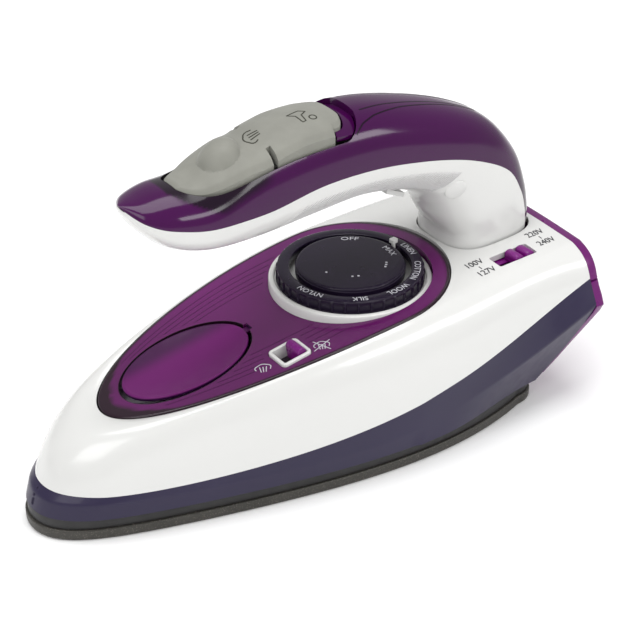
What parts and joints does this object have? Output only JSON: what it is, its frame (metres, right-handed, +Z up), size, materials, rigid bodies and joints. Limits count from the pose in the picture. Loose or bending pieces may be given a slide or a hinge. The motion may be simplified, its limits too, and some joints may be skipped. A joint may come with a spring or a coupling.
{
  "type": "clothes iron",
  "caption": "Compact dual-voltage travel steam iron with folding handle, tinted water tank, temperature dial, steam selector and pump button pad.",
  "frame": {"origin": "centre of the object's bounding box in X and Y, on the sole plate's ironing face at Z = 0", "axes": "+Z up, -X towards the sole's pointed nose, +X towards the heel, Y across"},
  "size_m": [0.204, 0.0916, 0.1179],
  "materials": {
    "white_shell": "moulded gloss",
    "navy_skirt": "satin",
    "tank_plastic": "tinted translucent gloss",
    "handle_tint": "deep tinted gloss",
    "heel_plastic": "moulded gloss",
    "dial_plastic": "satin",
    "button_rubber": "matt soft touch",
    "sole_metal": "ceramic coated, fine speckle",
    "chamber_metal": "as cast",
    "heater_sheath": "oxidised",
    "insulator": "matt",
    "tub_plastic": "translucent",
    "seal_rubber": "matt",
    "phenolic": "matt",
    "steel": "plated",
    "bracket_metal": "plated",
    "pump_plastic": "moulded"
  },
  "bodies": {
    "body": {"sole_plate": "sole_metal", "heating_element": "heater_sheath", "steam_chamber_lid": "chamber_metal", "insulator_ring": "insulator", "skirt": "navy_skirt", "body_shell": "white_shell", "heel_plate": "heel_plastic", "tank_cover": "tank_plastic", "tank_tub": "tub_plastic", "tank_seal": "seal_rubber", "filler_gasket": "seal_rubber", "dial_bezel": "white_shell", "thermostat_housing": "phenolic", "thermal_fuse": "phenolic", "terminal_block": "phenolic", "voltage_switch_body": "insulator", "steam_frame": "white_shell", "drip_valve_seat": "steel", "cord_gland": "insulator", "cord_clamp": "phenolic", "sole_screws": "steel", "heel_screws": "steel", "hinge_bracket": "bracket_metal", "hinge_pin": "steel", "filler_pin": "steel"},
    "dial": {"dial_knob": "dial_plastic", "dial_cap": "dial_plastic", "thermostat_shaft": "steel"},
    "steam_selector": {"steam_slider": "heel_plastic"},
    "steam_needle": {"steam_needle": "steel"},
    "voltage_selector": {"voltage_slider": "heel_plastic"},
    "filler": {"filler_cover": "tank_plastic"},
    "rocker": {"button_pad": "button_rubber"},
    "burst_plunger": {"burst_plunger": "pump_plastic"},
    "spray_plunger": {"spray_plunger": "pump_plastic"},
    "release": {"release_button": "white_shell"},
    "handle": {"handle_base": "white_shell", "handle_cover": "handle_tint", "handle_screws": "steel", "burst_pump_body": "pump_plastic", "spray_pump_body": "pump_plastic", "pump_hose": "pump_plastic", "rocker_pin": "steel", "burst_spring": "steel", "spray_spring": "steel"}
  },
  "joints": [
    {"name": "handle_fold", "type": "hinge", "parent": "body", "child": "handle", "pos_m": [0.088, 0, 0.057], "axis": [0, -1, 0], "range_deg": [0, 9]},
    {"name": "dial_turn", "type": "hinge", "parent": "body", "child": "dial", "pos_m": [0.0244, 0, 0.0552], "axis": [0, 0, 1], "range_deg": [0, 310]},
    {"name": "steam_select", "type": "slide", "parent": "body", "child": "steam_selector", "axis": [-0.9875, 0, -0.1576], "range_m": [0, 0.0048]},
    {"name": "needle_lift", "type": "slide", "parent": "body", "child": "steam_needle", "axis": [0, 0, 1], "range_m": [0, 0.0015]},
    {"name": "voltage_select", "type": "slide", "parent": "body", "child": "voltage_selector", "axis": [-1, 0, 0], "range_m": [0, 0.0064]},
    {"name": "filler_open", "type": "hinge", "parent": "body", "child": "filler", "pos_m": [-0.0164, 0, 0.04489], "axis": [0, -1, 0], "range_deg": [-38, 0]},
    {"name": "button_rock", "type": "hinge", "parent": "handle", "child": "rocker", "pos_m": [-0.014, 0, 0.1074], "axis": [0, -1, 0], "range_deg": [-3, 3]},
    {"name": "burst_stroke", "type": "slide", "parent": "handle", "child": "burst_plunger", "axis": [0, 0, -1], "range_m": [-0.00078, 0.00078], "stiffness_N_per_m": 800, "deforming": ["burst_spring"]},
    {"name": "spray_stroke", "type": "slide", "parent": "handle", "child": "spray_plunger", "axis": [0, 0, -1], "range_m": [-0.00106, 0.00106], "deforming": ["spray_spring"]},
    {"name": "release_slide", "type": "slide", "parent": "handle", "child": "release", "axis": [0.9026, 0, -0.4305], "range_m": [0, 0.004], "stiffness_N_per_m": 300, "springref_m": -0.002}
  ],
  "couplings": [
    {"joint": "needle_lift", "follows": "steam_select", "ratio": 0.3125},
    {"joint": "button_rock", "follows": "burst_stroke", "rad_per_m": 66.667},
    {"joint": "spray_stroke", "follows": "burst_stroke", "ratio": -1.3333}
  ]
}
